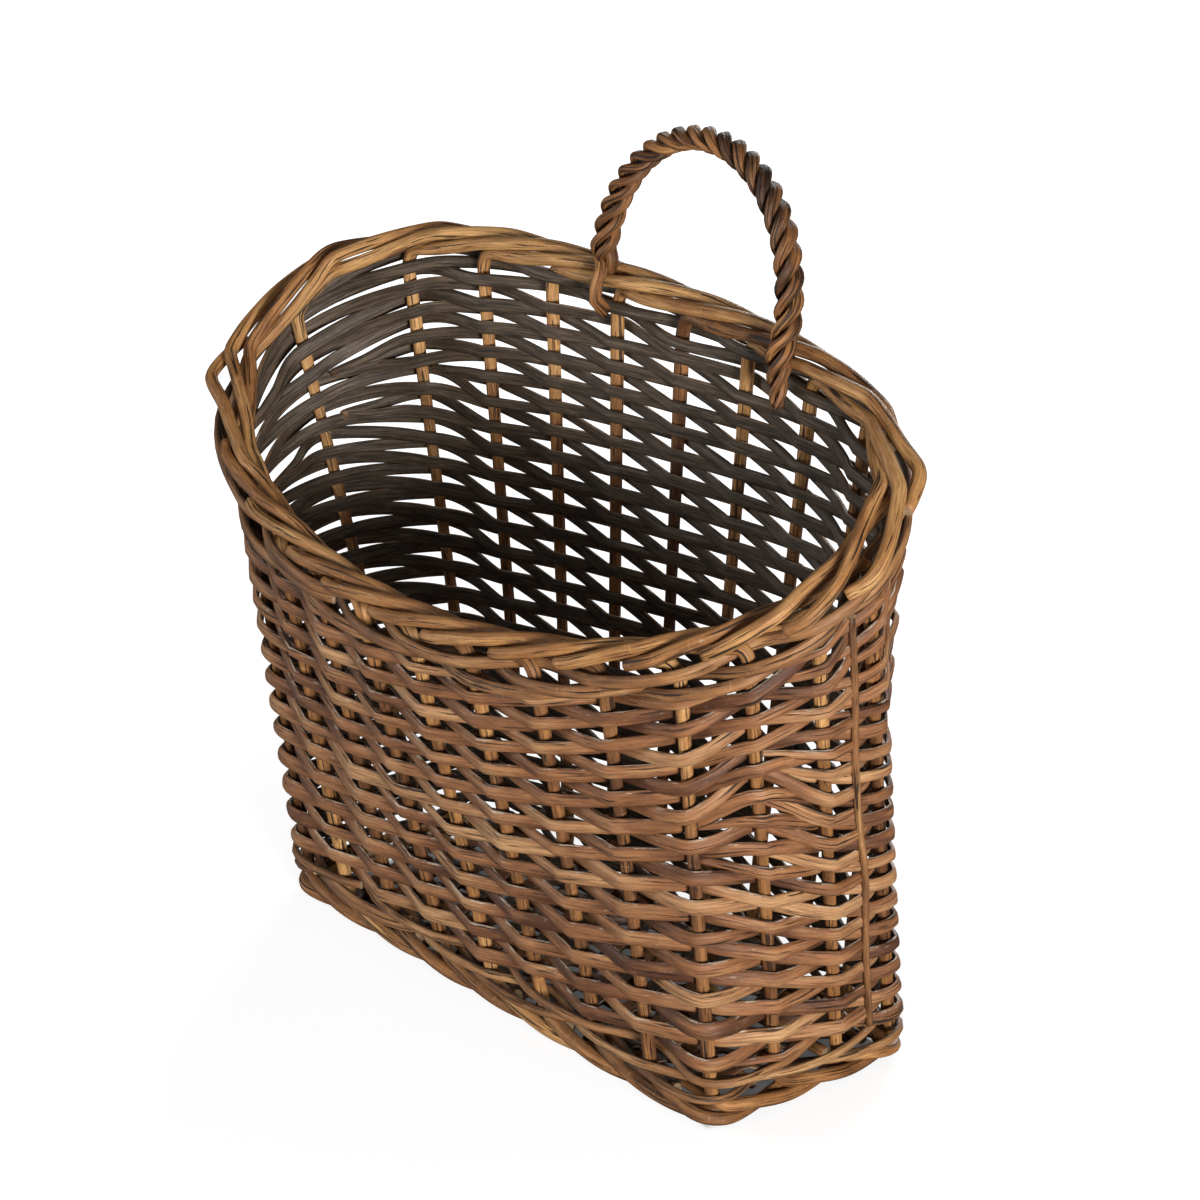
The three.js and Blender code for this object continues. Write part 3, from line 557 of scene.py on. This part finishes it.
for stake in range(STAKES):
    foot_run = np.linspace(FOOT_RUN, BEND_RUN, 30)
    border_run = np.linspace(BEND_RUN, BORDER_RUN - chance.uniform(0.0, 0.3), 50)
    rise = np.linspace(0, 1, 40)[1:-1, None]
    path = np.concatenate([foot_point(stake, foot_run), feet[stake] * (1 - rise) + heads[stake] * rise,
                           border_point(stake, border_run, chance.uniform(0, 0.5))])
    outs = np.concatenate([base_at(stake + foot_run)[2], np.repeat(rim_at([stake])[2], len(rise), 0),
                           rim_at(stake - border_run)[2]])
    length = along_path(path)
    path = eased(path, spacing=2.2, reach=2.6)
    marks = np.linspace(0, length[-1], len(path))
    outs = np.stack([np.interp(marks, length, outs[:, k]) for k in range(3)], 1)
    share = np.linspace(0, 1, len(path))
    taper = np.interp(share, [0, 0.25, 0.4, 0.55, 0.65, 0.97, 1], [1.1, 1.1, 1.0, 1.0, 1.15, 1.1, 1.0])
    shade = np.interp(share, [0.25, 0.3, 0.55, 0.62], [0, -0.18, -0.18, 0.1])
    shade = chance.normal(0.5, 0.13) + shade
    round_rod(f"stake_rod_{stake + 1:02d}", path, STAKE_RADIUS * taper, round_willow,
              f"stake_{stake + 1:02d}", hint=outs, base_tone=shade)

# Lower and upper wale: under the weave and over it, three thin round rods lie one above the other. Each
# goes out over two stakes and in behind the third. The lower ones are thinner, the upper ones flatter.
FOOT_SEAT, RIM_SEAT, WALE_RADIUS, WALE_PITCH, WALE_RODS = 3.0, 1.2, 2.1, 4.2, 3
LOWER_THIN, LOWER_PINCH, UPPER_PINCH, WALE_LEAD, WALE_FOLLOW = 0.85, 0.08, 0.28, 0.12, 0.4
WALE_STAND = STAKE_RADIUS + WALE_RADIUS


def wall_line(stakes, heights):
    """The wall's middle at these stakes and heights: a point up each stake, and the way up there."""
    index = np.mod(stakes, STAKES)
    return feet[index] + heights[:, None] * stake_up[index], stake_up[index]


def outwards(middle, up):
    """The way out of the wall along a line of its points: the way along crossed with up."""
    return unit(np.cross(np.gradient(middle, axis=0), up))


for name, foot_end in (("lower_wale", True), ("upper_wale", False)):
    for number in range(WALE_RODS):
        stakes = np.arange(-2, STAKES + 5)
        offset = (FOOT_SEAT if foot_end else RIM_SEAT) + (number + 0.5) * WALE_PITCH
        heights = np.full(len(stakes), offset) if foot_end else stake_length[stakes % STAKES] - offset
        middle, up = wall_line(stakes, heights)
        side = np.where((stakes + number) % WALE_RODS == 0, -1.0, 1.0)
        inside = -number % WALE_RODS
        steps = np.linspace(inside - WALE_LEAD, inside + STAKES + WALE_FOLLOW, 8 * STAKES) - stakes[0]
        line, rise = through(middle, steps), unit(through(up, steps))
        path = line + (through(side, steps) * WALE_STAND)[:, None] * outwards(line, rise)
        path = path + wander(steps, reach=1.5, size=0.25)[:, None] * rise
        radius = LOWER_THIN * WALE_RADIUS if foot_end else WALE_RADIUS
        round_rod(f"{name}_rod_{number + 1}", path, radius, thin_willow,
                  f"{name}_{number + 1:02d}", sides=10, pinch=LOWER_PINCH if foot_end else UPPER_PINCH,
                  split=True)

# Weavers: split willow, bark side out, wound round the wall one after another, out over one stake and in
# behind the next. The number of stakes is odd, so each turn goes the other way to the turn below it. Where
# one ends and the next begins, they overlap on the inner side of a stake.
TURNS, TURNS_PER_WEAVER, WEAVER_STAND = 24, 3, 4.3
PACKING = [(12, 9, 22), (14, 9, 22), (16, 10, 22), (17, 10, 21), (18, 11, 20), (20, 12, 19), (21, 11, 20),
           (22, 10, 21)]
packed = np.array([[first <= stake <= last for _, first, last in PACKING] for stake in range(STAKES)])
packed_above = np.array([above for above, _, _ in PACKING])
WEAVE_START = FOOT_SEAT + WALE_RODS * WALE_PITCH
WEAVE_END = RIM_SEAT + WALE_RODS * WALE_PITCH
ROW_SPREAD, ROW_FILL, ROW_MORE, LEAST_ROW = 0.12, 0.96, 0.2, 1.2
rows_on = TURNS + 2 * packed.sum(1)


def row_place(stake, rank):
    """Height up a stake of the row with this rank, and how high the row is there. Rows climb by one in each
    turn of the wall, and lie a little wider apart low down. The first and the last turn narrow to a wedge
    where they meet the wales."""
    def edge(row):
        share = np.clip(row / (rows_on[stake] + 1), 0, 1)
        span = stake_length[stake] - WEAVE_START - WEAVE_END
        return WEAVE_START + span * (share + ROW_SPREAD * share * (1 - share))

    lower, upper = edge(rank + stake / STAKES), edge(rank + 1 + stake / STAKES)
    return (lower + upper) / 2, upper - lower


def turn_rank(stake, turn):
    """A turn's rank on a stake: the turns below it, and two rows for each packing below it there."""
    return turn + 2 * (packed[stake] & (packed_above < np.asarray(turn)[..., None])).sum(-1)


def weaver_width(row):
    """A weaver is about as wide as its row is high, so that it just meets those above and below it."""
    return ROW_FILL * row + ROW_MORE


def swing(steps):
    """The side that a weaver is on, 1 outside and -1 inside: a cosine wave with straighter flanks."""
    return np.arcsin(0.999 * np.cos(np.pi * steps)) / math.asin(0.999)


SAMPLES, TIP, LONG_TAIL, SHORT_TAIL, TAIL_TUCK = 12, 14, 15, 3, 1.6
WEAVERS = TURNS // TURNS_PER_WEAVER
for weaver in range(WEAVERS):
    first = weaver * TURNS_PER_WEAVER * STAKES - (TIP if weaver == 0 else 0)
    last = (weaver + 1) * TURNS_PER_WEAVER * STAKES - 1 + (TIP if weaver == WEAVERS - 1 else 0)
    order = np.arange(first - 2, last + 3)
    stakes, turns = order % STAKES, order // STAKES
    heights, rows = row_place(stakes, turn_rank(stakes, turns))
    middle, up = wall_line(stakes, heights)
    lead, follow = (LONG_TAIL if end % 2 == 0 else SHORT_TAIL for end in (first, last))
    steps = np.arange(first * SAMPLES - lead, last * SAMPLES + follow + 1) / SAMPLES
    local = steps - order[0]
    line, rise = through(middle, local), unit(through(up, local))
    beyond = np.clip(first - steps, 0, 1) + np.clip(steps - last, 0, 1)
    path = line + (swing(steps) * WEAVER_STAND - TAIL_TUCK * beyond)[:, None] * outwards(line, rise)
    row = np.maximum(through(rows, local), LEAST_ROW)
    path = path + (wander(steps, reach=1.1, size=0.06) * row)[:, None] * rise
    lean = wander(steps, reach=1.3, size=0.10)[:, None]
    width = weaver_width(row) * (1 + wander(steps, reach=2.2, size=0.08))
    # Painted light and shade: each weaver is lighter where it stands furthest out over a stake and darker
    # where it dives in behind the next.
    tone = 0.45 + 0.14 * swing(steps) + wander(steps, reach=2.4, size=0.15)
    tone = np.clip(tone + wander(steps, reach=17, size=0.14), 0, 1)
    leaning = unit(rise + lean * outwards(line, rise))
    split_strip(f"weaver_strip_{weaver + 1:02d}", path, leaning, width, tone, f"weaver_{weaver + 1:02d}")

# Corner rod: one thin round rod, stood outside the weave at the right end, half way between two stakes. It
# goes from the lower wale to the upper one.
CORNER_RADIUS, CORNER_STAND = 1.5, 4.2
stakes = np.array([10, 11])
share = np.linspace(0, 1, 60)
heights = WEAVE_START + share[:, None] * (stake_length[stakes] - WEAVE_START - WEAVE_END)
sides = feet[stakes] + heights[..., None] * stake_up[stakes]
out = unit(np.cross(sides[:, 1] - sides[:, 0], stake_up[stakes[0]]))
line = sides.mean(1) + (CORNER_STAND + wander(share, reach=0.12, size=0.3))[:, None] * out
line = line + wander(share, reach=0.2, size=0.8)[:, None] * unit(sides[:, 1] - sides[:, 0])
round_rod("corner_thin_rod", line, CORNER_RADIUS, thin_willow, "corner_rod", sides=8,
          hint=(1, 0, 0), base_tone=0.3)

# Packing weavers: short rows of the same split willow, which go across the back only, turn round a stake
# and come back one row higher, so that the way home shows its split side inside too. They make the back
# higher.
TURN_REACH, TURN_TIP, TAIL_REACH, TAIL_NARROW = 0.5, 0.8, 0.85, 0.4
TAIL_SIDE, BEND_SIDE, BEND_NARROW = -0.9, 0.5, [0.75, 0.55, 0.75]


def row_beside(stake, above):
    """Where a short row would run out at the next stake: half way between the two turns that close over
    it."""
    index = stake % STAKES
    turn = above + stake // STAKES
    height, _ = row_place(np.array([index]), turn_rank(np.array([index]), np.array([turn])) + 0.5)
    return wall_line(np.array([index]), height)[0][0]


def towards(point, target, share):
    """The place at this share of the way from a point to a target."""
    return point + (target - point) * share


for number, (above, first, last) in enumerate(PACKING):
    order = np.arange(first, last + 1)
    side = np.where((above * STAKES + order) % 2 == 0, -1.0, 1.0)
    rank = turn_rank(order, np.full(len(order), above)) + 1
    heights, pitch = row_place(order, rank)
    there, up_there = wall_line(order, heights)
    home, up_home = wall_line(order, row_place(order, rank + 1)[0])
    out = outwards(there, up_there)
    before, after = row_beside(first - 1, above), row_beside(last + 1, above)
    bend = np.stack([towards(there[-1], after, TURN_REACH),
                     towards((there[-1] + home[-1]) / 2, after, TURN_TIP),
                     towards(home[-1], after, TURN_REACH)])
    middle = np.concatenate([[towards(there[0], before, TAIL_REACH)], there, bend, home[::-1],
                             [towards(home[0], before, TAIL_REACH)]])
    round_bend = BEND_SIDE * side[-1] * np.array([1, 0, -1])
    swings = np.concatenate([[TAIL_SIDE], side, round_bend, -side[::-1], [TAIL_SIDE]])
    outs = np.concatenate([out[:1], out, out[[-1, -1, -1]], out[::-1], out[:1]])
    ups = np.concatenate([up_there[:1], up_there, up_there[[-1, -1, -1]], up_home[::-1], up_home[:1]])
    full = np.ones(len(order))
    narrow = np.concatenate([[TAIL_NARROW], full, BEND_NARROW, full, [TAIL_NARROW]])
    pitch = np.concatenate([pitch[:1], pitch, pitch[[-1, -1, -1]], pitch[::-1], pitch[:1]]) * narrow
    stations = np.arange(len(middle))
    steps = np.linspace(0, stations[-1], SAMPLES * stations[-1] + 1)
    rise, row = unit(through(ups, steps)), np.interp(steps, stations, pitch)
    sway = WEAVER_STAND * np.interp(steps, stations, swings)
    path = through(middle, steps) + sway[:, None] * unit(through(outs, steps))
    path = path + (wander(steps, reach=1.1, size=0.06) * row)[:, None] * rise
    width = weaver_width(row) * (1 + wander(steps, reach=2.2, size=0.08))
    tone = np.clip(0.5 + wander(steps, reach=2.4, size=0.18), 0, 1)
    turned = np.clip(steps - len(order) - 1.5, 0, 1)[:, None]
    split_strip(f"packing_strip_{number + 1:02d}", path, rise, width, tone,
                f"packing_weaver_{number + 1:02d}", turned=turned)

# Handle: three willow rods twisted into a rope, bent to a small arch over the back rim. At the left foot
# two rods go into the border and one comes down inside it. The right foot goes down inside it and narrows
# to a tip. The basket hangs on a wall hook by this arch.
HANDLE_SPAN, HANDLE_RISE, HANDLE_OFFSET, HANDLE_TUCK = 112, 75, 27, 20
rope_willow = willow("rope_willow", linear(66, 39, 20), linear(150, 100, 55), linear(196, 146, 88),
                     linear(110, 94, 78), linear(176, 148, 112), 0.2, 0.525)
HANDLE_STRANDS, STRAND_RADIUS, HANDLE_LAY, FOOT_LEAN = 3, 2.1, 26, 0.3
TIP_ROLL, TIP_THICK, HANDLE_BED, STRAND_SWELL = 0.45, 0.55, 0.8, 1.05
LONE_ROLL, LONE_END, LONE_SLOPE, LONE_TUCK = 0.1, 0.25, 0.4, 7.0
LOOSE_ROLL = (STRAND_RADIUS + ROLL_CLEARANCE / 2) / math.sin(math.pi / HANDLE_STRANDS)
HANDLE_SLANT = math.atan2(2 * math.pi * LOOSE_ROLL, HANDLE_LAY)
SLANTED_RADIUS = STRAND_RADIUS / math.cos(HANDLE_SLANT)
HANDLE_ROLL = (SLANTED_RADIUS + ROLL_CLEARANCE / 2) / math.sin(math.pi / HANDLE_STRANDS)
HANDLE_RADIUS = HANDLE_ROLL + STRAND_RADIUS
HANDLE_INSET = BORDER_RADIUS + HANDLE_RADIUS - HANDLE_BED


def inside_back(x):
    """Depth of the handle's line where it stands inside the back border: the rim's own line, set in."""
    across = np.abs(2 * (HANDLE_OFFSET + x) / RIM_WIDTH) ** BACK_ROUNDNESS
    return RIM_DEPTH / 2 * (1 - across) ** (1 / BACK_ROUNDNESS) - RIM_FORWARD - HANDLE_INSET


arch = np.pi * (1 - np.arange(1, 10) / 10)
x = HANDLE_SPAN / 2 * np.cos(arch)
foot_top = BACK_HEIGHT + BORDER_RADIUS + HANDLE_RADIUS
y = inside_back(x) + HANDLE_INSET * (FOOT_LEAN + (1 - FOOT_LEAN) * np.sin(arch))
z = foot_top + (HANDLE_RISE - BORDER_RADIUS - 2 * HANDLE_RADIUS) * np.sin(arch)
leg_x = HANDLE_SPAN / 2 * np.array([-1.0, -1, -1, 1, 1, 1])
leg_y = inside_back(leg_x) + HANDLE_INSET * FOOT_LEAN * np.array([0, 0, 1, 1, 0, 0])
left_leg_z = np.array([BACK_HEIGHT - HANDLE_TUCK, BACK_HEIGHT, foot_top])
leg_z = np.concatenate([left_leg_z, left_leg_z[::-1]])
rope = np.stack([np.concatenate([leg[:3], bow, leg[3:]])
                 for leg, bow in ((leg_x, x), (leg_y, y), (leg_z, z))], 1)
rope[:, 0] += HANDLE_OFFSET
rope = even(through(rope, np.linspace(0, len(rope) - 1, 600)), spacing=1.6)
travel = unit(np.gradient(rope, axis=0))
across = unit(np.array([0.0, 1, 0]) - travel * travel[:, 1:2])
third = np.cross(travel, across)
length = along_path(rope)
left_half = length < length[-1] / 2
to_left, to_right = length / HANDLE_TUCK, (length[-1] - length) / HANDLE_TUCK
close = np.minimum(np.interp(to_left, [1.0, 1.7], [LONE_ROLL, 1]),
                   np.interp(to_right, [0, 1], [TIP_ROLL, 1]))[:, None]
thick = STRAND_RADIUS * STRAND_SWELL * np.interp(to_right, [0, 1], [TIP_THICK, 1])
sink = np.clip((foot_top - rope[:, 2]) / (foot_top - BACK_HEIGHT), 0, 1) * left_half
for strand in range(HANDLE_STRANDS):
    angle = (2 * np.pi * (length / HANDLE_LAY + strand / HANDLE_STRANDS))[:, None]
    path = rope + HANDLE_ROLL * close * (np.cos(angle) * across + np.sin(angle) * third)
    if strand > 0:
        path[:, 1] += HANDLE_INSET * sink
        kept = ~left_half | (rope[:, 2] > BACK_HEIGHT)
    else:
        path[:, 1] += np.interp(to_left, [LONE_END, LONE_END + LONE_SLOPE], [LONE_TUCK, 0])
        kept = to_left > LONE_END
    round_rod(f"handle_rod_{strand + 1}", path[kept], thick[kept], rope_willow,
              f"handle_strand_{strand + 1:02d}", sides=16, hint=(0, 1, 0), base_tone=0.36, pinch=0.28)
